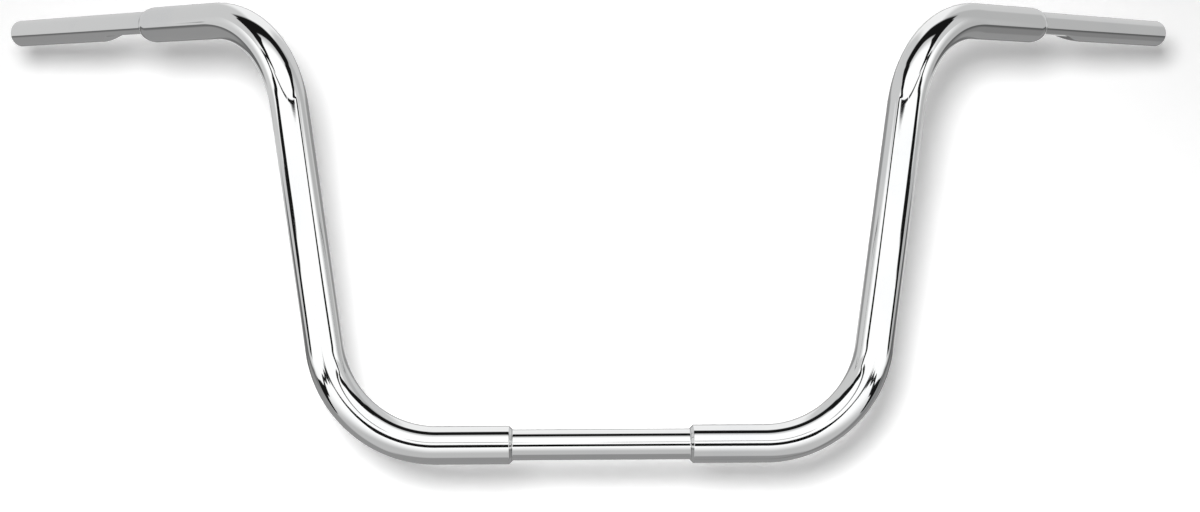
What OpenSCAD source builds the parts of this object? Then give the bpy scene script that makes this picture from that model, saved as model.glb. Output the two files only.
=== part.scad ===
// Motorcycle handlebar: a wide, swept-back bar with thick risers.
// The middle of the clamp section is the origin, +X runs along it,
// +Y points back to the rider and +Z up. Lengths are in millimetres.
// The tubes are described as a tube bender would: straight runs,
// bends and the turn of the bend plane between them.

/* [Clamp tube] */
// Outer diameter of the straight tube that the handlebar clamp grips
clamp_tube_d = 25.4; // [20:0.1:25.6]
// Bare length of the clamp tube between the two thick tubes
clamp_length = 147; // [80:1:200]

/* [Thick tubes] */
// Outer diameter of the two bent tubes
riser_tube_d = 31.75; // [31.5:0.05:38]
// Wall of the two bent tubes
riser_wall = 3.05; // [2:0.05:3.4]
// Width of the bevel round the end that meets the clamp tube
clamp_end_bevel = 2.3; // [0.5:0.1:2.5]
// Length over which the other end rounds down to the grip tube
grip_end_taper = 11; // [5:0.5:20]
// Wall left at the mouth of the rounded end
grip_mouth_wall = 0.55; // [0.3:0.05:1.5]

/* [Bends] */
// Straight run from the end at the clamp tube to the lower bend
base_run = 62; // [55:1:100]
// Radius of the lower bend, at the tube's centre line
lower_bend_r = 94; // [60:1:140]
// Angle of the lower bend
lower_bend_angle = 81; // [60:1:95]
// Straight run of the riser between its two bends
riser_run = 206.5; // [60:0.5:320]
// Turn of the bend plane between the two bends
plane_turn = 141.7; // [120:0.1:180]
// Radius of the upper bend, at the tube's centre line
upper_bend_r = 100; // [60:1:140]
// Angle of the upper bend
upper_bend_angle = 76.2; // [50:0.1:90]
// Straight run from the upper bend to the mouth of the rounded end
arm_run = 92; // [65:1:140]
// Lean of the risers towards the rider
riser_lean = 14.2; // [0:0.1:30]

/* [Grip tubes] */
// Outer diameter of the tubes that carry the grips and controls
grip_tube_d = 25.4; // [20:0.1:25.6]
// Bare length of each grip tube, out of the thick tube
grip_length = 203.2; // [150:0.1:260]
// Wall of the grip tubes and of the clamp tube
thin_wall = 3.05; // [1.5:0.05:3.2]
// Rounding of the outer edge at the open ends
rim_r = 0.9; // [0.2:0.1:1.4]

/* [Joints of the tubes] */
// How far a thin tube reaches into a thick one
spigot_length = 38; // [15:1:45]
// Radial clearance of a thin tube in a thick one
spigot_clearance = 0.3; // [0.1:0.05:0.5]
// Bevel that leads a thin tube in
spigot_lead = 1; // [0.2:0.1:1.2]

/* [Wire recesses] */
// Depth of the pressed recess under each grip tube
recess_depth = 5.5; // [2:0.1:6]
// Length of its flat floor on the rider's right
right_recess_flat = 52; // [10:1:60]
// Length of its run-out on the rider's right
right_recess_ramp = 19; // [18:1:60]
// Length of its flat floor on the rider's left
left_recess_flat = 31; // [10:1:60]
// Length of its run-out on the rider's left
left_recess_ramp = 42; // [18:1:60]
// Clock angle of the recess, from the inside of the upper bend
recess_clock = 10; // [-180:1:180]

/* [Hidden] */
$fn = 96;
// Segments of the long shallow arcs
arc_fn = 360;
chrome = [0.80, 0.81, 0.82];
LEFT = 1;
RIGHT = -1;

riser_r = riser_tube_d / 2;
riser_bore_r = riser_r - riser_wall;
clamp_r = clamp_tube_d / 2;
clamp_bore_r = clamp_r - thin_wall;
grip_r = grip_tube_d / 2;
grip_bore_r = grip_r - thin_wall;
grip_mouth_r = riser_bore_r + grip_mouth_wall;
spigot_r = riser_bore_r - spigot_clearance;
// The wall is this much thinner on each face round a bend, as in bent tube
bend_thinning = 0.05;
// A bend is swept this many degrees too far, then cut square at its end
bend_spare = 2;
// How far a recess's run-out ends outside the tube, and a cutter stands clear
run_out = 0.3;
clear_of_tube = 2;
// Steps along a run-out
ramp_steps = 16;

// Moves along the tube's axis, which is the local +Z
module run(length) {
    translate([0, 0, length]) children();
}

// Moves round a bend towards the local +X, turning about its centre
module bend(radius, angle) {
    translate([radius, 0, 0]) rotate([0, angle, 0]) translate([-radius, 0, 0])
        children();
}

// Puts the local +Z along the clamp tube, towards one side, and the local +X
// up the leaning plane of the lower bend
module from_middle(side) {
    mirror([side == RIGHT ? 1 : 0, 0, 0])
        rotate([-riser_lean, 0, 0]) rotate([0, 90, 0]) rotate([0, 0, 180])
            children();
}

// Puts the local frame at the start of the upper bend, +X towards its inside
module at_upper_bend(side) {
    from_middle(side) run(clamp_length / 2 + base_run)
        bend(lower_bend_r, lower_bend_angle) run(riser_run)
            rotate([0, 0, -plane_turn]) children();
}

// Puts the local frame at the mouth of the rounded end, +Z along the grip tube
module at_mouth(side) {
    at_upper_bend(side) bend(upper_bend_r, upper_bend_angle) run(arm_run)
        children();
}

// Wall of a straight tube in section: radius across, length up
module wall_section(bore_r, outer_r, length) {
    translate([bore_r, 0]) square([outer_r - bore_r, length]);
}

// Bent thick tube from the local origin, curving towards +X
module bent_tube(radius, angle) {
    difference() {
        translate([radius, 0, 0]) rotate([90, 0, 180])
            rotate_extrude(angle = angle + bend_spare)
                translate([radius, 0]) difference() {
                    circle(riser_r - bend_thinning);
                    circle(riser_bore_r + bend_thinning);
                }
        bend(radius, angle) translate([-riser_tube_d, -riser_tube_d, 0])
            cube(2 * riser_tube_d);
    }
}

// Thick straight end whose bevel meets the clamp tube at the local origin
module bevelled_end(length) {
    rotate_extrude()
        polygon([[riser_bore_r, 0], [riser_r - clamp_end_bevel, 0],
                 [riser_r, clamp_end_bevel], [riser_r, length],
                 [riser_bore_r, length]]);
}

// Thick straight end that rounds down to a grip tube at the local origin and
// reaches back by length
module rounded_end(length) {
    drop = riser_r - grip_mouth_r;
    arc_r = (grip_end_taper * grip_end_taper + drop * drop) / (2 * drop);
    rotate_extrude() translate([0, -length]) {
        wall_section(riser_bore_r, riser_r, length - grip_end_taper);
        translate([0, length - grip_end_taper]) intersection() {
            wall_section(riser_bore_r, riser_r, grip_end_taper);
            translate([riser_r - arc_r, 0]) circle(arc_r, $fn = arc_fn);
        }
    }
}

// One thick tube, bent twice between the clamp tube and a grip tube
module riser_tube(side) {
    color(chrome) {
        from_middle(side) run(clamp_length / 2) {
            bevelled_end(base_run);
            run(base_run) bent_tube(lower_bend_r, lower_bend_angle);
            run(base_run) bend(lower_bend_r, lower_bend_angle)
                rotate_extrude() wall_section(riser_bore_r, riser_r, riser_run);
        }
        at_upper_bend(side) bent_tube(upper_bend_r, upper_bend_angle);
        at_mouth(side) rounded_end(arm_run);
    }
}

// Straight thin tube between the two thick ones, with a spigot at each end
module clamp_tube() {
    shoulder = clamp_length / 2;
    tip = shoulder + spigot_length;
    color(chrome) rotate([0, 90, 0]) rotate_extrude()
        polygon([[clamp_bore_r, -tip], [spigot_r - spigot_lead, -tip],
                 [spigot_r, spigot_lead - tip], [spigot_r, -shoulder],
                 [clamp_r, -shoulder], [clamp_r, shoulder],
                 [spigot_r, shoulder], [spigot_r, tip - spigot_lead],
                 [spigot_r - spigot_lead, tip], [clamp_bore_r, tip]]);
}

// Side view of what a wire recess takes away: a flat floor, then a run-out in
// half a cosine wave. It starts at the mouth and runs along +X, and +Y points
// to the tube's axis. inset is the wall that is pressed in with it.
module recess_outline(flat, ramp, inset) {
    drop = recess_depth + run_out;
    floor_y = recess_depth - grip_r + inset;
    bottom_y = -grip_r - clear_of_tube;
    polygon(concat(
        [[-inset, bottom_y], [-inset, floor_y]],
        [for (i = [0:ramp_steps]) let (t = i / ramp_steps)
            [flat + ramp * t, floor_y - drop * (1 - cos(180 * t)) / 2]],
        [[flat + ramp, bottom_y]]));
}

// Solid that cuts a wire recess, with the mouth at the local origin and the
// grip tube along +Z
module recess_cutter(flat, ramp, inset) {
    rotate([90, -90, recess_clock])
        linear_extrude(2 * (grip_r + clear_of_tube), center = true)
            recess_outline(flat, ramp, inset);
}

// Thin tube that carries a grip and its controls, with a spigot, a rounded rim
// and a pressed wire recess on its underside
module grip_tube(side) {
    flat = side == RIGHT ? right_recess_flat : left_recess_flat;
    ramp = side == RIGHT ? right_recess_ramp : left_recess_ramp;
    bore_length = spigot_length + grip_length + 2 * clear_of_tube;
    color(chrome) at_mouth(side) difference() {
        rotate_extrude() {
            polygon([[0, -spigot_length], [spigot_r - spigot_lead, -spigot_length],
                     [spigot_r, spigot_lead - spigot_length], [spigot_r, 0],
                     [grip_r, 0], [grip_r, grip_length - rim_r],
                     [grip_r - rim_r, grip_length], [0, grip_length]]);
            translate([grip_r - rim_r, grip_length - rim_r]) circle(rim_r);
        }
        recess_cutter(flat, ramp, 0);
        difference() {
            translate([0, 0, -spigot_length - clear_of_tube])
                cylinder(h = bore_length, r = grip_bore_r);
            recess_cutter(flat, ramp, thin_wall);
        }
    }
}

clamp_tube();
riser_tube(RIGHT);  // right_riser_tube
riser_tube(LEFT);  // left_riser_tube
grip_tube(RIGHT);  // right_grip_tube
grip_tube(LEFT);  // left_grip_tube
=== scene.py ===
"""Looks of a chrome motorcycle handlebar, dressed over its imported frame.

The bar is held by the middle of its clamp section, which is the origin: +X
runs along that section, +Y points back to the rider and +Z up. Lengths of the
tubes are in millimetres, and meshes and the studio are in metres.
"""

import logging
import math
from dataclasses import dataclass, field
from enum import Enum
from typing import Any, Union

import bpy
import numpy as np
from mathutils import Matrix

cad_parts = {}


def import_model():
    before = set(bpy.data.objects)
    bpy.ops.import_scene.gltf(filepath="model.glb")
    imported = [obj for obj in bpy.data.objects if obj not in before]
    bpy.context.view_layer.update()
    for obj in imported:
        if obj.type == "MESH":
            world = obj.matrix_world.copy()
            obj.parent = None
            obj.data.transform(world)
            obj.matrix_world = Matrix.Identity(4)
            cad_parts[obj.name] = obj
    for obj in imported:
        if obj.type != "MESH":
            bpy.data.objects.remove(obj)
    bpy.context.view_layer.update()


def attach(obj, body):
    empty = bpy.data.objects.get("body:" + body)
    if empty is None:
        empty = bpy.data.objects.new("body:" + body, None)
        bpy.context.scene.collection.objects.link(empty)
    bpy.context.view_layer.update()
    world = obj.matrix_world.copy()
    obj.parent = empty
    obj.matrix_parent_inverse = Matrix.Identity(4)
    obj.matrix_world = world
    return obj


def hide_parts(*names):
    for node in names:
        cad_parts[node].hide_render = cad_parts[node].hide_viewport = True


MM = 0.001
BODY = "root"
SLOT = "chrome_plate"
LOG = logging.getLogger("handlebar")

Triple = tuple[float, float, float]
Span = tuple[float, float]
Stops = dict[float, float]


class Side(Enum):
    """The rider's side that a tube is on, with the sign of its +X."""

    LEFT = 1
    RIGHT = -1

    def mirrored(self, points: np.ndarray) -> np.ndarray:
        """Returns points drawn for the left side, on this side."""
        return points * np.array([self.value, 1.0, 1.0])


class Grey(Enum):
    """Brightness of what the chrome sees round it, as plain radiance."""

    BLACK = 0.012
    SHADE = 0.19
    FLOOR = 0.40
    PALE = 0.74
    WALL = 0.86
    BRIGHT = 1.30
    WHITE = 1.55


# Shader maths


@dataclass(frozen=True)
class Value:
    """An output socket that takes part in arithmetic."""

    graph: "Graph"
    socket: bpy.types.NodeSocket

    def _maths(self, operation: str, *values: "Number") -> "Value":
        """Returns one Math node on these values."""
        inputs = dict(enumerate(values))
        return self.graph.node("ShaderNodeMath", {"operation": operation}, inputs)

    def __add__(self, other: "Number") -> "Value":
        """Returns self + other."""
        return self._maths("ADD", self, other)

    def __radd__(self, other: "Number") -> "Value":
        """Returns other + self."""
        return self._maths("ADD", other, self)

    def __sub__(self, other: "Number") -> "Value":
        """Returns self - other."""
        return self._maths("SUBTRACT", self, other)

    def __rsub__(self, other: "Number") -> "Value":
        """Returns other - self."""
        return self._maths("SUBTRACT", other, self)

    def __mul__(self, other: "Number") -> "Value":
        """Returns self * other."""
        return self._maths("MULTIPLY", self, other)

    def __rmul__(self, other: "Number") -> "Value":
        """Returns other * self."""
        return self._maths("MULTIPLY", other, self)

    def __abs__(self) -> "Value":
        """Returns the value without its sign."""
        return self._maths("ABSOLUTE", self)

    def degrees_up(self) -> "Value":
        """Returns the elevation, in degrees, of a direction with this height."""
        return self._maths("ARCSINE", self) * math.degrees(1.0)

    def degrees_round(self, front: "Value") -> "Value":
        """Returns the angle in degrees from the front to this sideways part."""
        return self._maths("ARCTAN2", self, front) * math.degrees(1.0)

    def step(self, start: "Number", end: "Number") -> "Value":
        """Makes a smooth step.

        Args:
            start: value up to which the step is 0.
            end: value from which it is 1.

        Returns:
            A share from 0 to 1.
        """
        inputs = {"Value": self, "From Min": start, "From Max": end}
        settings = {"interpolation_type": "SMOOTHSTEP"}
        return self.graph.node("ShaderNodeMapRange", settings, inputs)

    def band(self, rise: "Ends", fall: "Ends") -> "Value":
        """Makes a band with smooth edges.

        Args:
            rise: the two values between which the band begins.
            fall: the two values between which it ends.

        Returns:
            1 in the band and 0 off it.
        """
        return self.step(*rise) * (1.0 - self.step(*fall))


Number = Union[Value, float]
Ends = tuple[Number, Number]


class Graph:
    """A node tree that is built from expressions."""

    def __init__(self, tree: bpy.types.NodeTree) -> None:
        """Empties the tree and keeps it."""
        self.tree = tree
        tree.nodes.clear()

    def node(
        self,
        kind: str,
        settings: dict[str, Any],
        inputs: dict[Union[str, int], Any],
        output: Union[str, int] = 0,
    ) -> Value:
        """Adds one node.

        Args:
            kind: the node's type.
            settings: the node's own properties, which are set first. A colour
                ramp takes its stops, as greys at places from 0 to 1.
            inputs: a number, a colour or a Value for each socket.
            output: the socket that is handed on.

        Returns:
            The node's output, as a Value.
        """
        made = self.tree.nodes.new(kind)
        for name, setting in settings.items():
            if name == "stops":
                self._set_stops(made.color_ramp, setting)
            else:
                setattr(made, name, setting)
        for name, given in inputs.items():
            if isinstance(given, Value):
                self.tree.links.new(given.socket, made.inputs[name])
            else:
                made.inputs[name].default_value = given
        if not made.outputs:
            return Value(self, made.inputs[0])
        return Value(self, made.outputs[output])

    @staticmethod
    def _set_stops(ramp: bpy.types.ColorRamp, stops: Stops) -> None:
        """Gives a ramp its greys.

        Args:
            ramp: the ramp, as new.
            stops: greys at places from 0 to 1.
        """
        ramp.interpolation = "EASE"
        while len(ramp.elements) < len(stops):
            ramp.elements.new(0.5)
        for element, (place, grey) in zip(ramp.elements, sorted(stops.items())):
            element.position = place
            element.color = (grey, grey, grey, 1.0)

    def mix(self, first: Number, second: Number, share: Value) -> Value:
        """Returns first where share is 0, second where it is 1."""
        return first + (second - first) * share


@dataclass(frozen=True)
class Course:
    """An angle that follows another angle, smoothly through its stops.

    A ramp holds only 0 to 1, so both angles are scaled to their ranges. All
    are in degrees.
    """

    over: Span
    within: Span
    stops: Stops

    def at(self, angle: Value) -> Value:
        """Reads the course.

        Args:
            angle: the angle that it follows.

        Returns:
            The course's own angle there.
        """
        start, end = self.over
        low, high = self.within
        places = {
            (place - start) / (end - start): (height - low) / (high - low)
            for place, height in self.stops.items()
        }
        inputs = {"Value": angle, "From Min": start, "From Max": end}
        share = angle.graph.node("ShaderNodeMapRange", {}, inputs)
        read = angle.graph.node("ShaderNodeValToRGB", {"stops": places}, {"Fac": share})
        return read * (high - low) + low


# Shapes

# An edge's share that a rounded corner may take, and how far off the corner
# the points beside it stand, against its reach
CORNER_SHARE = 0.4
BESIDE_CORNER = 1.2


def turned_about_x(angle: float) -> np.ndarray:
    """Makes the matrix of a turn about X.

    Args:
        angle: the turn in degrees.

    Returns:
        A matrix of 3 x 3.
    """
    c = math.cos(math.radians(angle))
    s = math.sin(math.radians(angle))
    return np.array([[1.0, 0.0, 0.0], [0.0, c, -s], [0.0, s, c]])


def turned_about_y(angles: np.ndarray) -> np.ndarray:
    """Makes one matrix for each turn about the local Y.

    Args:
        angles: the turns in degrees.

    Returns:
        Matrices of 3 x 3, in an array of the angles' shape.
    """
    c = np.cos(np.radians(angles))
    s = np.sin(np.radians(angles))
    made = np.zeros(c.shape + (3, 3))
    made[..., 0, 0] = c
    made[..., 0, 2] = s
    made[..., 1, 1] = 1.0
    made[..., 2, 0] = -s
    made[..., 2, 2] = c
    return made


def turned_about_z(angle: float) -> np.ndarray:
    """Makes the matrix of a turn about the local Z.

    Args:
        angle: the turn in degrees.

    Returns:
        A matrix of 3 x 3.
    """
    c = math.cos(math.radians(angle))
    s = math.sin(math.radians(angle))
    return np.array([[c, -s, 0.0], [s, c, 0.0], [0.0, 0.0, 1.0]])


@dataclass(frozen=True)
class Stretch:
    """A straight or evenly bent stretch of a tube's centre line.

    The tube runs along the local +Z and bends towards the local +X. A straight
    stretch has an angle of 0. turn is how far the bend plane has been turned
    since the tube's start, and is taken out of the axes that it gives, so that
    lines along the tube stay straight.
    """

    origin: np.ndarray
    axes: np.ndarray
    length: float
    angle: float = 0.0
    turn: float = 0.0

    def at(self, along: np.ndarray) -> tuple[np.ndarray, np.ndarray]:
        """Places points of the centre line.

        On a bend of radius R, a point that has turned by a lies R (1 - cos a)
        to the inside and R sin a ahead.

        Args:
            along: distances from the start of the stretch.

        Returns:
            The points, and the tube's axes there as columns of matrices.
        """
        if self.angle == 0.0:
            points = self.origin + along[:, None] * self.axes[:, 2]
            axes = np.broadcast_to(self.axes, (len(along), 3, 3))
        else:
            radius = self.length / math.radians(self.angle)
            swept = along / radius
            inside = radius * (1.0 - np.cos(swept))
            ahead = radius * np.sin(swept)
            points = (
                self.origin
                + inside[:, None] * self.axes[:, 0]
                + ahead[:, None] * self.axes[:, 2]
            )
            axes = self.axes @ turned_about_y(np.degrees(swept))
        return points, axes @ turned_about_z(-self.turn)


@dataclass
class CentreLine:
    """The centre line of a bent tube, as runs and bends end to end."""

    origin: np.ndarray
    axes: np.ndarray
    turn: float = 0.0
    stretches: list[Stretch] = field(default_factory=list)

    def _add(self, length: float, angle: float) -> "CentreLine":
        """Adds one stretch and moves on to its end.

        Args:
            length: length of the stretch.
            angle: how far it bends, in degrees.

        Returns:
            The centre line itself.
        """
        stretch = Stretch(self.origin, self.axes, length, angle, self.turn)
        points, axes = stretch.at(np.array([length]))
        self.stretches.append(stretch)
        self.origin = points[0]
        self.axes = axes[0] @ turned_about_z(self.turn)
        return self

    def run(self, length: float) -> "CentreLine":
        """Adds a straight run."""
        return self._add(length, 0.0)

    def bend(self, radius: float, angle: float) -> "CentreLine":
        """Adds a bend towards the local +X, its angle in degrees."""
        return self._add(radius * math.radians(angle), angle)

    def roll(self, angle: float) -> "CentreLine":
        """Turns the bend plane about the tube.

        Args:
            angle: the turn in degrees.

        Returns:
            The centre line itself.
        """
        self.axes = self.axes @ turned_about_z(angle)
        self.turn += angle
        return self

    @property
    def length(self) -> float:
        """Length of the whole centre line."""
        return sum(stretch.length for stretch in self.stretches)

    def at(self, along: np.ndarray) -> tuple[np.ndarray, np.ndarray]:
        """Places points that are given by their distance from the start.

        A point before the start or past the end lies straight on from there.

        Args:
            along: distances from the start of the line.

        Returns:
            The points, and the tube's axes there as columns of matrices.
        """
        ends = np.cumsum([stretch.length for stretch in self.stretches])
        which = np.searchsorted(ends[:-1], along)
        points = np.zeros((len(along), 3))
        axes = np.zeros((len(along), 3, 3))
        for number, stretch in enumerate(self.stretches):
            here = which == number
            start = ends[number] - stretch.length
            points[here], axes[here] = stretch.at(along[here] - start)
        return points, axes


def softened(corners: np.ndarray, reach: float, steps: int = 5) -> np.ndarray:
    """Rounds every corner of a closed outline.

    Each corner becomes the quadratic curve that leaves the outline reach
    before the corner and joins it again reach after, or a share of the edge
    where that is less, with one more point a little further off at each side.

    Args:
        corners: the outline's corners in turn, as rows of two.
        reach: how far the curve reaches from a corner.
        steps: number of points on each curve.

    Returns:
        The rounded outline, as rows of two.
    """

    def towards(neighbour: np.ndarray, share: float) -> np.ndarray:
        """Places points on the edges to the neighbours.

        Args:
            neighbour: each corner's neighbour.
            share: how far to go, against the reach.

        Returns:
            One point for each corner.
        """
        edge = neighbour - corners
        size = np.linalg.norm(edge, axis=1, keepdims=True)
        most = CORNER_SHARE * size * share / BESIDE_CORNER
        return corners + edge / size * np.minimum(reach * share, most)

    before = np.roll(corners, 1, axis=0)
    after = np.roll(corners, -1, axis=0)
    start, end = towards(before, 1.0), towards(after, 1.0)
    t = np.linspace(0.0, 1.0, steps)[None, :, None]
    curve = (
        (1 - t) ** 2 * start[:, None]
        + 2 * t * (1 - t) * corners[:, None]
        + t**2 * end[:, None]
    )
    first = towards(before, BESIDE_CORNER)[:, None]
    last = towards(after, BESIDE_CORNER)[:, None]
    return np.concatenate([first, curve, last], axis=1).reshape(-1, 2)


def filled(outline: np.ndarray, longest: float) -> np.ndarray:
    """Adds points along a closed outline, evenly on each of its edges.

    Args:
        outline: the outline's points in turn, as rows of two.
        longest: length that no edge may be over.

    Returns:
        The outline with its new points, as rows of two.
    """
    edge = np.roll(outline, -1, axis=0) - outline
    parts = np.ceil(np.linalg.norm(edge, axis=1) / longest).astype(int)
    parts = np.maximum(parts, 1)
    start = np.repeat(np.arange(len(outline)), parts)
    offset = np.arange(parts.sum()) - np.repeat(np.cumsum(parts) - parts, parts)
    share = (offset / parts[start])[:, None]
    return outline[start] + edge[start] * share


def ring_mesh(name: str, points: np.ndarray, flip: bool) -> bpy.types.Mesh:
    """Makes a mesh that is closed both ways, as a ring of ring sections.

    Args:
        name: name of the mesh.
        points: metres, as rows x columns x 3, where row i + 1 follows row i and
            the last is followed by the first, and so for the columns.
        flip: True where the grid was mirrored, which turns its faces round.

    Returns:
        A smooth mesh whose faces point outwards.
    """
    rows, columns = points.shape[:2]
    here = np.arange(rows * columns).reshape(rows, columns)
    across = np.roll(here, -1, axis=1)
    quads = np.stack(
        [here, across, np.roll(across, -1, axis=0), np.roll(here, -1, axis=0)], axis=-1
    ).reshape(-1, 4)
    if flip:
        quads = quads[:, ::-1]
    mesh = bpy.data.meshes.new(name)
    mesh.vertices.add(rows * columns)
    mesh.vertices.foreach_set("co", points.reshape(-1).astype(np.float32))
    mesh.loops.add(quads.size)
    mesh.loops.foreach_set("vertex_index", quads.reshape(-1).astype(np.int32))
    mesh.polygons.add(len(quads))
    mesh.polygons.foreach_set("loop_start", np.arange(0, quads.size, 4, dtype=np.int32))
    mesh.polygons.foreach_set("use_smooth", np.ones(len(quads), dtype=bool))
    mesh.update(calc_edges=True)
    mesh.validate()
    return mesh


# Finishes

# Places of a Mix node's sockets when it mixes colours
MIX_SHARE, MIX_FIRST, MIX_SECOND, MIX_RESULT = 0, 6, 7, 2


@dataclass(frozen=True)
class ChromePlate:
    """Bright chrome over polished steel, and dull plating inside the bore.

    Polishing leaves a faint long ripple that bends reflections a little, a
    fine grain and a thin haze here and there. Sizes are in metres.
    """

    plate: Triple = (0.805, 0.81, 0.81)
    hazed: Triple = (0.76, 0.77, 0.785)
    bore: Triple = (0.20, 0.20, 0.21)
    polish: float = 0.030
    haze: float = 0.045
    bore_roughness: float = 0.45
    ripple_size: float = 0.045
    ripple_detail: float = 1.0
    ripple: float = 0.00002
    grain_size: float = 0.0016
    grain_detail: float = 2.0
    grain: float = 0.0000012
    patch_scale: float = 14.0
    patch_detail: float = 5.0
    patch_edge: Span = (0.52, 0.74)

    def material(self) -> bpy.types.Material:
        """Makes the material, which reads Object coordinates and the bore mask.

        Returns:
            The new material, with the slot's name.
        """
        made = bpy.data.materials.new(SLOT)
        made.use_nodes = True
        graph = Graph(made.node_tree)
        bore = graph.node("ShaderNodeAttribute", {"attribute_name": "bore"}, {}, "Fac")
        ripple = self._noise(graph, 1 / self.ripple_size, self.ripple_detail)
        grain = self._noise(graph, 1 / self.grain_size, self.grain_detail)
        patch = self._noise(graph, self.patch_scale, self.patch_detail)
        haze = patch.step(*self.patch_edge) * grain
        colour = self._mixed(graph, (*self.plate, 1.0), self.hazed, haze)
        colour = self._mixed(graph, colour, self.bore, bore)
        skin = self.polish + haze * self.haze
        height = ripple * self.ripple + grain * self.grain
        bump = graph.node(
            "ShaderNodeBump", {}, {"Strength": 1.0, "Distance": 1.0, "Height": height}
        )
        shader = graph.node(
            "ShaderNodeBsdfPrincipled",
            {},
            {
                "Metallic": 1.0,
                "Base Color": colour,
                "Roughness": graph.mix(skin, self.bore_roughness, bore),
                "Normal": bump,
            },
        )
        graph.node("ShaderNodeOutputMaterial", {}, {"Surface": shader})
        return made

    @staticmethod
    def _noise(graph: Graph, scale: float, detail: float) -> Value:
        """Makes noise in the piece's own space.

        Args:
            graph: the material's nodes.
            scale: number of its waves to a metre.
            detail: number of finer layers over it.

        Returns:
            The noise, from 0 to 1.
        """
        place = graph.node("ShaderNodeTexCoord", {}, {}, "Object")
        inputs = {"Vector": place, "Scale": scale, "Detail": detail}
        return graph.node("ShaderNodeTexNoise", {}, inputs)

    @staticmethod
    def _mixed(graph: Graph, first: Any, second: Triple, share: Value) -> Value:
        """Mixes two colours.

        A Mix node's sockets for colours share their names with others, so
        they are given by number.

        Args:
            graph: the material's nodes.
            first: a colour with its alpha, or a Value of one.
            second: the other colour.
            share: 0 for the first, 1 for the second.

        Returns:
            The mixed colour.
        """
        inputs = {MIX_SHARE: share, MIX_FIRST: first, MIX_SECOND: (*second, 1.0)}
        return graph.node("ShaderNodeMix", {"data_type": "RGBA"}, inputs, MIX_RESULT)


# Tubes of the handlebar


@dataclass(frozen=True)
class TubeSizes:
    """Diameters, walls and small roundings of the tubes, and their meshes' rows."""

    thick_r: float = 31.75 / 2
    thick_wall: float = 3.05
    thin_r: float = 25.4 / 2
    thin_wall: float = 3.05
    clamp_length: float = 147.0
    clamp_end_bevel: float = 2.3
    grip_end_taper: float = 11.0
    mouth_wall: float = 0.55
    spigot_length: float = 38.0
    spigot_clearance: float = 0.3
    spigot_lead: float = 1.0
    weld_fillet: float = 1.1
    edge_softness: float = 0.35
    bore_margin: float = 0.1
    row_spacing: float = 2.0
    grip_row_spacing: float = 1.2
    columns: int = 128
    grip_columns: int = 192
    arc_points: int = 7
    nose_points: int = 12

    @property
    def thick_bore_r(self) -> float:
        """Radius of the thick tubes' bore."""
        return self.thick_r - self.thick_wall

    @property
    def thin_bore_r(self) -> float:
        """Radius of the thin tubes' bore."""
        return self.thin_r - self.thin_wall

    @property
    def mouth_r(self) -> float:
        """Outer radius at the mouth of a thick tube's rounded end."""
        return self.thick_bore_r + self.mouth_wall

    @property
    def spigot_r(self) -> float:
        """Radius of a thin tube where it sits in a thick one."""
        return self.thick_bore_r - self.spigot_clearance

    @property
    def quarter(self) -> np.ndarray:
        """Angles over a quarter turn, in radians, for a small rounding."""
        return np.linspace(0.0, math.pi / 2, self.arc_points)


@dataclass
class Tube:
    """A tube whose wall outline is carried along its centre line."""

    name: str
    node: str
    side: Side
    line: CentreLine
    sizes: TubeSizes
    columns: int

    def outline(self) -> np.ndarray:
        """Returns the wall's closed outline, as distance along and radius."""
        raise NotImplementedError

    def bore_edge(self) -> float:
        """Returns the radius below which the surface is the bore."""
        raise NotImplementedError

    def section(self, wall: np.ndarray, angles: np.ndarray) -> np.ndarray:
        """Makes a ring at each row: r cos a and r sin a.

        Args:
            wall: the outline, as distance along and radius r.
            angles: the angles a round the tube, in radians.

        Returns:
            The rings, as rows x angles x 2.
        """
        ring = np.stack([np.cos(angles), np.sin(angles)], axis=-1)
        return wall[:, 1, None, None] * ring

    def build(self) -> bpy.types.Object:
        """Makes the tube's mesh and object.

        A point at angle a round row i lies at the centre line's point there,
        plus its two section coordinates along the tube's own X and Y axes.

        Returns:
            The new object, with a mask of its bore.
        """
        wall = self.outline()
        angles = np.arange(self.columns) / self.columns * 2.0 * math.pi
        centres, axes = self.line.at(wall[:, 0])
        section = self.section(wall, angles)
        points = centres[:, None] + np.einsum("rck,rxk->rcx", section, axes[:, :, :2])
        points = self.side.mirrored(points) * MM
        mesh = ring_mesh(self.name, points, self.side is Side.RIGHT)
        inside = np.repeat(wall[:, 1] < self.bore_edge(), self.columns)
        mask = mesh.attributes.new("bore", "FLOAT", "POINT")
        mask.data.foreach_set("value", inside.astype(np.float32))
        made = bpy.data.objects.new(self.name, mesh)
        bpy.context.scene.collection.objects.link(made)
        return made

    def dress(self, piece: bpy.types.Object, finish: bpy.types.Material) -> None:
        """Gives the piece its finish, and its place in the frame.

        Args:
            piece: the tube's object.
            finish: the material that it wears.
        """
        piece.data.materials.append(finish)
        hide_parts(self.node)
        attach(piece, BODY)
        triangles = 2 * len(piece.data.polygons)
        LOG.info("%s stands for %s, %d triangles", piece.name, self.node, triangles)


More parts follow.
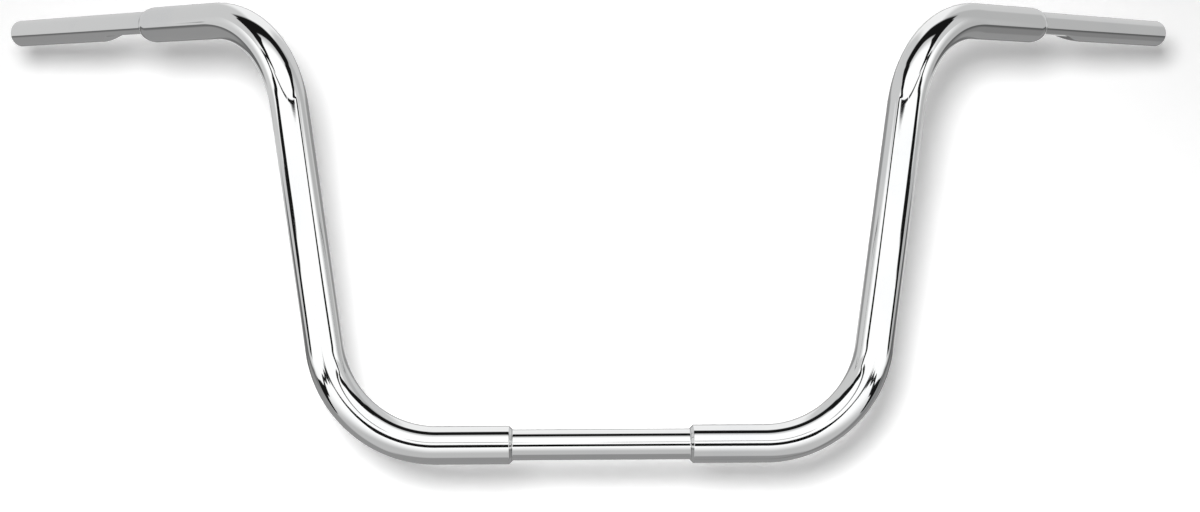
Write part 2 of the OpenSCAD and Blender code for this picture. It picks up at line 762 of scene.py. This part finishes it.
class ThickTube(Tube):
    """One bent thick tube: base, riser and arm in one piece."""

    def outline(self) -> np.ndarray:
        """Draws the wall, from the bevelled end to the rounded one.

        The rounded end follows the arc that leaves the tube's side straight on
        and falls to the mouth's radius over the length of the taper.

        Returns:
            The closed outline, as distance along and radius.
        """
        s = self.sizes
        end = self.line.length
        drop = s.thick_r - s.mouth_r
        arc_r = (s.grip_end_taper**2 + drop**2) / (2 * drop)
        ahead = np.linspace(0.0, s.grip_end_taper, s.nose_points)
        fall = arc_r - np.sqrt(arc_r**2 - ahead**2)
        nose = np.column_stack([end - s.grip_end_taper + ahead, s.thick_r - fall])
        corners = np.concatenate(
            [
                [(0.0, s.thick_bore_r), (0.0, s.thick_r - s.clamp_end_bevel)],
                [(s.clamp_end_bevel, s.thick_r)],
                nose,
                [(end, s.thick_bore_r)],
            ]
        )
        return filled(softened(corners, s.edge_softness), s.row_spacing)

    def bore_edge(self) -> float:
        """Returns a radius just over the bore's."""
        return self.sizes.thick_bore_r + self.sizes.bore_margin


class ThinTube(Tube):
    """A thin tube, which goes on inside a thick one as a spigot."""

    def bore_edge(self) -> float:
        """Returns a radius just over the bore's."""
        return self.sizes.thin_bore_r + self.sizes.edge_softness


class ClampSection(ThinTube):
    """The straight thin tube that the handlebar clamp grips.

    Its ends flare into the weld at the thick tubes and go on inside them.
    """

    def outline(self) -> np.ndarray:
        """Draws the wall: bore, spigots, weld fillets and bare tube.

        Returns:
            The closed outline, as distance along and radius.
        """
        s = self.sizes
        half = s.clamp_length / 2
        tip = half + s.spigot_length
        rise = s.weld_fillet * (1.0 - np.sin(s.quarter))
        away = s.weld_fillet * (1.0 - np.cos(s.quarter))
        left_flare = np.column_stack([away - half, s.thin_r + rise])
        right_flare = np.column_stack([half - away, s.thin_r + rise])[::-1]
        corners = np.concatenate(
            [
                [(-tip, s.thin_bore_r), (-tip, s.spigot_r - s.spigot_lead)],
                [(s.spigot_lead - tip, s.spigot_r), (-half, s.spigot_r)],
                left_flare,
                right_flare,
                [(half, s.spigot_r), (tip - s.spigot_lead, s.spigot_r)],
                [(tip, s.spigot_r - s.spigot_lead), (tip, s.thin_bore_r)],
            ]
        )
        return filled(softened(corners, s.edge_softness / 2), s.row_spacing)


@dataclass
class GripTube(ThinTube):
    """A thin tube for grip and controls, with the wire recess under it.

    The recess is pressed in, so the bore follows it.
    """

    grip_length: float = 203.2
    rim_r: float = 0.9
    shoulder: float = 0.1
    recess_depth: float = 5.5
    recess_flat: float = 31.0
    recess_ramp: float = 42.0
    recess_clock: float = 10.0
    run_out: float = 0.3
    press_lead: float = 1.5
    crease_softness: float = 0.9
    crease_reach: float = 1.0

    def outline(self) -> np.ndarray:
        """Draws the wall, from the tip of the spigot to the open end.

        Returns:
            The closed outline, as distance along and radius.
        """
        s = self.sizes
        tip = -s.spigot_length
        end = self.grip_length
        ahead = self.rim_r * (np.sin(s.quarter) - 1)
        fall = self.rim_r * (np.cos(s.quarter) - 1)
        rim = np.column_stack([end + ahead, s.thin_r + fall])
        corners = np.concatenate(
            [
                [(tip, s.thin_bore_r), (tip, s.spigot_r - s.spigot_lead)],
                [(tip + s.spigot_lead, s.spigot_r)],
                [(-self.shoulder, s.spigot_r), (self.shoulder, s.thin_r)],
                rim,
                [(end, s.thin_bore_r)],
            ]
        )
        return filled(softened(corners, s.edge_softness / 2), s.grip_row_spacing)

    def floor_height(self, along: np.ndarray, inset: np.ndarray) -> np.ndarray:
        """Works out the distance from the axis to the recess's floor.

        The floor is flat, then rises in half a cosine wave to just outside the
        tube. Before the mouth it falls away over a short lead.

        Args:
            along: distances from the thick tube's mouth.
            inset: the wall that is pressed in with the floor there.

        Returns:
            The floor's height at each of those places.
        """
        deepest = self.sizes.thin_r - self.recess_depth
        drop = self.recess_depth + self.run_out
        share = np.clip((along - self.recess_flat) / self.recess_ramp, 0.0, 1.0)
        wave = (1.0 - np.cos(math.pi * share)) / 2
        lead = np.clip(-(along + inset) / self.press_lead, 0.0, 1.0)
        return deepest - inset + drop * np.maximum(wave, lead)

    def section(self, wall: np.ndarray, angles: np.ndarray) -> np.ndarray:
        """Makes rings that are flattened where the recess is.

        With x towards the recess, x becomes the soft minimum of r cos a and
        the floor's height: their mean less half of the root of their squared
        difference plus the softness squared. It fades out where the floor
        lies further out than the tube's side.

        Args:
            wall: the outline, as distance along and radius r.
            angles: the angles a round the tube, in radians.

        Returns:
            The rings, as rows x angles x 2.
        """
        clock = math.radians(self.recess_clock)
        radius = wall[:, 1]
        inset = np.clip(self.sizes.thin_r - radius, 0.0, self.sizes.thin_wall)
        height = self.floor_height(wall[:, 0], inset)[:, None]
        x = radius[:, None] * np.cos(angles - clock)
        y = radius[:, None] * np.sin(angles - clock)
        gap = np.sqrt((x - height) ** 2 + self.crease_softness**2)
        soft = (x + height - gap) / 2
        near = (radius[:, None] + self.crease_reach - height) / self.crease_reach
        x = x + (np.minimum(soft, x) - x) * np.clip(near, 0.0, 1.0)
        turned = [x * math.cos(clock) - y * math.sin(clock)]
        turned.append(x * math.sin(clock) + y * math.cos(clock))
        return np.stack(turned, axis=-1)


@dataclass
class Handlebar:
    """The whole bar: how its tubes are bent and joined."""

    base_run: float = 62.0
    lower_bend_r: float = 94.0
    lower_bend_angle: float = 81.0
    riser_run: float = 206.5
    plane_turn: float = 141.7
    upper_bend_r: float = 100.0
    upper_bend_angle: float = 76.2
    arm_run: float = 92.0
    riser_lean: float = 14.2
    left_recess: Span = (31.0, 42.0)
    right_recess: Span = (52.0, 19.0)
    sizes: TubeSizes = field(default_factory=TubeSizes)

    def outward(self) -> np.ndarray:
        """Makes the axes of a tube that leaves the middle towards +X.

        The tube's +Z lies along +X and its +X up the leaning plane of the
        lower bend.

        Returns:
            A matrix with the axes as its columns.
        """
        quarter = turned_about_y(np.array(90.0))
        return turned_about_x(-self.riser_lean) @ quarter @ turned_about_z(180.0)

    def thick_line(self) -> CentreLine:
        """Bends the left thick tube.

        Returns:
            Its centre line, from the end at the clamp section to the mouth.
        """
        axes = self.outward()
        start = axes[:, 2] * self.sizes.clamp_length / 2
        line = CentreLine(start, axes)
        line.run(self.base_run).bend(self.lower_bend_r, self.lower_bend_angle)
        line.run(self.riser_run).roll(-self.plane_turn)
        return line.bend(self.upper_bend_r, self.upper_bend_angle).run(self.arm_run)

    def grip_line(self) -> CentreLine:
        """Returns the centre line of the left grip tube, from the mouth."""
        mouth = self.thick_line()
        return CentreLine(mouth.origin, mouth.axes).run(GripTube.grip_length)

    def clamp_section(self) -> ClampSection:
        """Makes the middle tube, whose line starts at the bar's middle.

        Returns:
            The tube, which reaches as far to either side of its start.
        """
        s = self.sizes
        line = CentreLine(np.zeros(3), self.outward()).run(s.clamp_length / 2)
        return ClampSection("clamp_section", "clamp_tube", Side.LEFT, line, s, s.columns)

    def half(self, side: Side, recess: Span) -> list[Tube]:
        """Makes the two tubes of one side.

        Args:
            side: the side that they are on.
            recess: lengths of the wire recess's flat and ramp.

        Returns:
            The thick tube and the grip tube.
        """
        s = self.sizes
        word = side.name.lower()
        riser = ThickTube(
            f"{word}_riser", f"{word}_riser_tube", side, self.thick_line(), s, s.columns
        )
        grip = GripTube(
            f"{word}_grip_end",
            f"{word}_grip_tube",
            side,
            self.grip_line(),
            s,
            s.grip_columns,
            recess_flat=recess[0],
            recess_ramp=recess[1],
        )
        return [riser, grip]

    def build(self) -> None:
        """Makes every tube and dresses it in chrome."""
        chrome = ChromePlate().material()
        right = self.half(Side.RIGHT, self.right_recess)
        left = self.half(Side.LEFT, self.left_recess)
        for tube in [self.clamp_section(), *right, *left]:
            tube.dress(tube.build(), chrome)


# Studio


@dataclass(frozen=True)
class StudioWorld:
    """What the chrome reflects: light panels with dark gaps between them.

    A white panel stands over the camera, with a dark arch over it and a dark
    frame at its sides. A thin gap runs below it, and another falls away to
    both sides. Under them lie the pale tones of the table. Angles are in
    degrees: a bearing is measured from straight ahead, up from level. The arch
    and the panels' sides are parts of the direction, from 0 to 1. A pair of
    values is where something starts to change and where it has changed.
    """

    plain_light: float = 0.12
    overhead_foot: Span = (23.0, 26.0)

    side_shade: float = 0.22
    side_rise: Span = (86.0, 94.0)
    side_fall: Span = (112.0, 122.0)
    side_left: Span = (0.0, 0.1)

    ground_pale: Span = (-68.0, -60.0)
    ground_white: Span = (-38.0, 0.0)
    beside: Span = (74.0, 92.0)
    wall_foot: Course = Course(
        (60.0, 180.0),
        (-20.0, 0.0),
        {75: -12, 92: -14, 104: -9, 112: -5, 124: -7, 140: -14},
    )
    wall_edge: Span = (0.0, 3.0)
    wall_shade: Span = (-12.0, -3.0)
    far_floor: Span = (122.0, 134.0)
    far_rise: Span = (-5.0, -1.0)
    far_fall: Span = (9.0, 15.0)

    front_panel: Span = (0.25, 0.45)
    back_panel: Span = (0.18, 0.36)
    behind: Span = (0.0, 0.1)

    arch_front: float = 0.17
    arch_front_edge: float = 0.05
    arch_back: float = 0.15
    arch_back_edge: float = 0.10
    arch_splay: float = 0.12
    arch_foot: Span = (50.0, 54.0)

    line_edge: float = 0.8
    upper_line: float = 30.7
    upper_line_half: float = 0.8
    upper_line_start: Span = (1.0, 3.0)
    upper_line_end: Span = (44.0, 50.0)
    lower_line: Course = Course(
        (0.0, 100.0), (-27.0, 23.0), {10: 15, 16: 12.5, 25: 8, 40: 0, 60: -14, 80: -24}
    )
    lower_line_half: Course = Course(
        (0.0, 100.0), (0.0, 9.0), {16: 0.72, 25: 0.72, 40: 0.9, 60: 2.7, 80: 9}
    )
    lower_line_start: Span = (8.0, 12.0)
    lower_line_end: Span = (82.0, 88.0)

    frame_inner: Course = Course(
        (-10.0, 60.0),
        (0.0, 100.0),
        {-4: 78, 2: 74, 5: 68, 9: 60, 16: 57, 22: 51, 28: 58, 31: 59, 34: 40, 40: 48, 50: 53},
    )
    frame_outer: Course = Course(
        (-10.0, 60.0),
        (0.0, 100.0),
        {-4: 88, 2: 86, 5: 80, 9: 74, 16: 65, 22: 60, 28: 65, 31: 64, 34: 56, 40: 66, 50: 90},
    )
    frame_edge: float = 2.0
    frame_foot: Span = (-7.0, -4.0)
    frame_top: Span = (58.0, 62.0)

    def build(self) -> None:
        """Makes the world: white to the camera, the panels to the chrome."""
        world = bpy.data.worlds.new("studio")
        world.use_nodes = True
        bpy.context.scene.world = world
        graph = Graph(world.node_tree)
        panels = self._panels(graph)
        seen = graph.node("ShaderNodeLightPath", {}, {}, "Is Camera Ray")
        glossy = graph.node("ShaderNodeLightPath", {}, {}, "Is Glossy Ray")
        light = graph.mix(graph.mix(self.plain_light, panels, glossy), 1.0, seen)
        background = graph.node("ShaderNodeBackground", {}, {"Strength": light})
        graph.node("ShaderNodeOutputWorld", {}, {"Surface": background})

    def _panels(self, graph: Graph) -> Value:
        """Works out the brightness of the surroundings in each direction.

        Args:
            graph: the world's nodes.

        Returns:
            The brightness, as plain radiance.
        """
        direction = graph.node("ShaderNodeTexCoord", {}, {}, "Generated")
        left, back, height = (
            graph.node("ShaderNodeSeparateXYZ", {}, {0: direction}, name) for name in "XYZ"
        )
        aside = abs(left)
        front = 0.0 - back
        up = height.degrees_up()
        bearing = aside.degrees_round(front)
        level = self._table(graph, bearing, up)
        overhead = self._panel_and_wall(graph, aside, front)
        shown = graph.mix(level, overhead, up.step(*self.overhead_foot))
        shown = shown * (1.0 - self._upper_line(bearing, up))
        shown = shown * (1.0 - self._lower_line(bearing, up))
        shown = shown * (1.0 - self._arch(aside, front, up))
        shown = shown * (1.0 - self._frame(bearing, up))
        dim = bearing.band(self.side_rise, self.side_fall) * left.step(*self.side_left)
        return shown * (1.0 - dim * self.side_shade) + Grey.BLACK.value

    def _table(self, graph: Graph, bearing: Value, up: Value) -> Value:
        """Works out the tones from the ground up to the foot of the panel.

        Args:
            graph: the world's nodes.
            bearing: angle from straight ahead.
            up: angle over level.

        Returns:
            The brightness, as plain radiance.
        """
        ground_pale = up.step(*self.ground_pale)
        ground = graph.mix(Grey.FLOOR.value, Grey.PALE.value, ground_pale)
        ahead = graph.mix(ground, Grey.WHITE.value, up.step(*self.ground_white))
        over = up - self.wall_foot.at(bearing)
        shaded = over.step(*self.wall_shade)
        shade = graph.mix(Grey.FLOOR.value, Grey.SHADE.value, shaded)
        beside = graph.mix(shade, Grey.WALL.value, over.step(*self.wall_edge))
        far = bearing.step(*self.far_floor) * up.band(self.far_rise, self.far_fall)
        beside = graph.mix(beside, Grey.FLOOR.value, far)
        return graph.mix(ahead, beside, bearing.step(*self.beside))

    def _panel_and_wall(self, graph: Graph, aside: Value, front: Value) -> Value:
        """Works out the white panel in front, and the wall and panel behind.

        Args:
            graph: the world's nodes.
            aside: the direction's part to either side.
            front: its part towards the camera.

        Returns:
            The brightness, as plain radiance.
        """
        off_panel = aside.step(*self.back_panel)
        back = graph.mix(Grey.BRIGHT.value, Grey.WALL.value, off_panel)
        on_panel = front.step(*self.front_panel)
        ahead = graph.mix(Grey.WALL.value, Grey.WHITE.value, on_panel)
        return graph.mix(ahead, back, (0.0 - front).step(*self.behind))

    def _arch(self, aside: Value, front: Value, up: Value) -> Value:
        """Draws the dark arch overhead, which splays towards its feet.

        Args:
            aside: the direction's part to either side.
            front: its part towards the camera.
            up: angle over level.

        Returns:
            1 on the arch and 0 off it.
        """
        splay = aside * self.arch_splay
        before = self.arch_front + splay
        behind = self.arch_back - splay
        off_front = front.step(before, before + self.arch_front_edge)
        off_back = (0.0 - front).step(behind, behind + self.arch_back_edge)
        return (1.0 - (off_front + off_back)) * up.step(*self.arch_foot)

    def _upper_line(self, bearing: Value, up: Value) -> Value:
        """Draws the dark line under the panel, with a gap at the camera.

        Args:
            bearing: angle from straight ahead.
            up: angle over level.

        Returns:
            1 on the line and 0 off it.
        """
        half = self.upper_line_half
        off = abs(up - self.upper_line).step(half, half + self.line_edge)
        return (1.0 - off) * bearing.band(self.upper_line_start, self.upper_line_end)

    def _lower_line(self, bearing: Value, up: Value) -> Value:
        """Draws the dark line that falls away to both sides.

        Args:
            bearing: angle from straight ahead.
            up: angle over level.

        Returns:
            1 on the line and 0 off it.
        """
        half = self.lower_line_half.at(bearing)
        off = abs(up - self.lower_line.at(bearing)).step(half, half + self.line_edge)
        return (1.0 - off) * bearing.band(self.lower_line_start, self.lower_line_end)

    def _frame(self, bearing: Value, up: Value) -> Value:
        """Draws the panel's dark side frame.

        Below the panel the frame is a line that leans out towards the ground.
        Beside the panel it is broad, and it widens into the arch.

        Args:
            bearing: angle from straight ahead.
            up: angle over level.

        Returns:
            1 on the frame and 0 off it.
        """
        inner = self.frame_inner.at(up)
        outer = self.frame_outer.at(up)
        edge = self.frame_edge
        across = bearing.band((inner - edge, inner), (outer, outer + edge))
        return across * up.band(self.frame_foot, self.frame_top)


@dataclass(frozen=True)
class Studio:
    """Camera, lamp, sweep and flag, with the bar in front of the sweep."""

    camera_at: Triple = (-0.0298, -1.2034, 0.3296)
    camera_tilt: float = -8.156
    camera_turn: float = -1.371
    camera_near: float = 0.01
    lens: float = 45.0
    sensor: float = 36.0
    lamp_aside: float = -0.045
    lamp_above: float = 0.086
    lamp_size: float = 0.135
    lamp_power: float = 33.5
    sweep_foot: float = 0.53
    sweep_lean: float = 0.55
    floor_z: float = -0.34
    reach: float = 6.0
    fade: Span = (0.9, 2.2)
    backdrop_glow: float = 0.24
    backdrop_white: float = 0.92
    flag_half: float = 0.50
    flag_foot: float = 0.02
    flag_top: float = 0.37

    def build(self) -> None:
        """Makes the camera, the lamp, the sweep and the flag."""
        self._camera()
        self._lamp()
        self._backdrop()
        self._flag()
        StudioWorld().build()

    def _aim(self, thing: bpy.types.Object) -> None:
        """Turns the camera or the lamp to the photograph's viewing angle."""
        tilt = math.radians(90.0 + self.camera_tilt)
        thing.rotation_euler = (tilt, 0.0, math.radians(self.camera_turn))

    def _camera(self) -> None:
        """Places the camera at the photograph's viewpoint."""
        data = bpy.data.cameras.new("camera")
        data.lens = self.lens
        data.sensor_width = self.sensor
        data.clip_start = self.camera_near
        camera = bpy.data.objects.new("camera", data)
        camera.location = self.camera_at
        self._aim(camera)
        bpy.context.scene.collection.objects.link(camera)
        bpy.context.scene.camera = camera

    def _lamp(self) -> None:
        """Hangs a round soft lamp up and left of the camera."""
        data = bpy.data.lights.new("key_lamp", "AREA")
        data.shape = "DISK"
        data.size = self.lamp_size
        data.energy = self.lamp_power
        lamp = bpy.data.objects.new("key_lamp", data)
        x, y, z = self.camera_at
        lamp.location = (x + self.lamp_aside, y, z + self.lamp_above)
        self._aim(lamp)
        lamp.visible_glossy = False
        bpy.context.scene.collection.objects.link(lamp)

    def _backdrop(self) -> None:
        """Makes a floor that turns up into a leaning sweep behind the bar."""
        foot = self.sweep_foot + self.sweep_lean * self.floor_z
        top = self.reach
        back = self.sweep_foot + self.sweep_lean * top
        profile = [(-self.reach, self.floor_z), (foot, self.floor_z), (back, top)]
        corners = [(x, y, z) for y, z in profile for x in (-self.reach, self.reach)]
        mesh = bpy.data.meshes.new("sweep")
        mesh.from_pydata(corners, [], [(0, 1, 3, 2), (2, 3, 5, 4)])
        mesh.materials.append(self._backdrop_material())
        sweep = bpy.data.objects.new("sweep", mesh)
        bpy.context.scene.collection.objects.link(sweep)
        sweep.visible_glossy = False

    def _flag(self) -> None:
        """Hangs a low black flag at the camera, which only the chrome reflects."""
        half, y = self.flag_half, self.camera_at[1]
        heights = (self.flag_foot, self.flag_top)
        corners = [(x, y, z) for z in heights for x in (-half, half)]
        mesh = bpy.data.meshes.new("flag")
        mesh.from_pydata(corners, [], [(0, 1, 3, 2)])
        black = bpy.data.materials.new("flag")
        black.use_nodes = True
        graph = Graph(black.node_tree)
        shader = graph.node("ShaderNodeEmission", {}, {"Strength": Grey.BLACK.value})
        graph.node("ShaderNodeOutputMaterial", {}, {"Surface": shader})
        mesh.materials.append(black)
        flag = bpy.data.objects.new("flag", mesh)
        bpy.context.scene.collection.objects.link(flag)
        flag.visible_camera = flag.visible_diffuse = flag.visible_shadow = False

    def _backdrop_material(self) -> bpy.types.Material:
        """Makes a white that keeps shadows near the bar and fades out far off.

        It is clear from behind, so that it hides nothing.

        Returns:
            The new material.
        """
        made = bpy.data.materials.new("sweep")
        made.use_nodes = True
        graph = Graph(made.node_tree)
        place = graph.node("ShaderNodeTexCoord", {}, {}, "Object")
        length = {"operation": "LENGTH"}
        away = graph.node("ShaderNodeVectorMath", length, {0: place}, "Value")
        seen = graph.node("ShaderNodeLightPath", {}, {}, "Is Camera Ray")
        white = (self.backdrop_white,) * 3 + (1.0,)
        paper = graph.node("ShaderNodeBsdfDiffuse", {}, {"Color": white})
        glow = graph.node("ShaderNodeEmission", {}, {"Strength": seen * self.backdrop_glow})
        lit = graph.node("ShaderNodeAddShader", {}, {0: paper, 1: glow})
        plain = graph.node("ShaderNodeEmission", {}, {"Strength": seen})
        far = away.step(*self.fade)
        faded = graph.node("ShaderNodeMixShader", {}, {0: far, 1: lit, 2: plain})
        behind = graph.node("ShaderNodeNewGeometry", {}, {}, "Backfacing")
        clear = graph.node("ShaderNodeBsdfTransparent", {}, {})
        shader = graph.node("ShaderNodeMixShader", {}, {0: behind, 1: faded, 2: clear})
        graph.node("ShaderNodeOutputMaterial", {}, {"Surface": shader})
        return made


def main() -> None:
    """Loads the frame, dresses the bar and sets up the studio."""
    logging.basicConfig(level=logging.INFO, format="%(message)s")
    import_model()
    bpy.context.scene.view_settings.view_transform = "Standard"
    Handlebar().build()
    Studio().build()


if __name__ == "__main__":
    main()
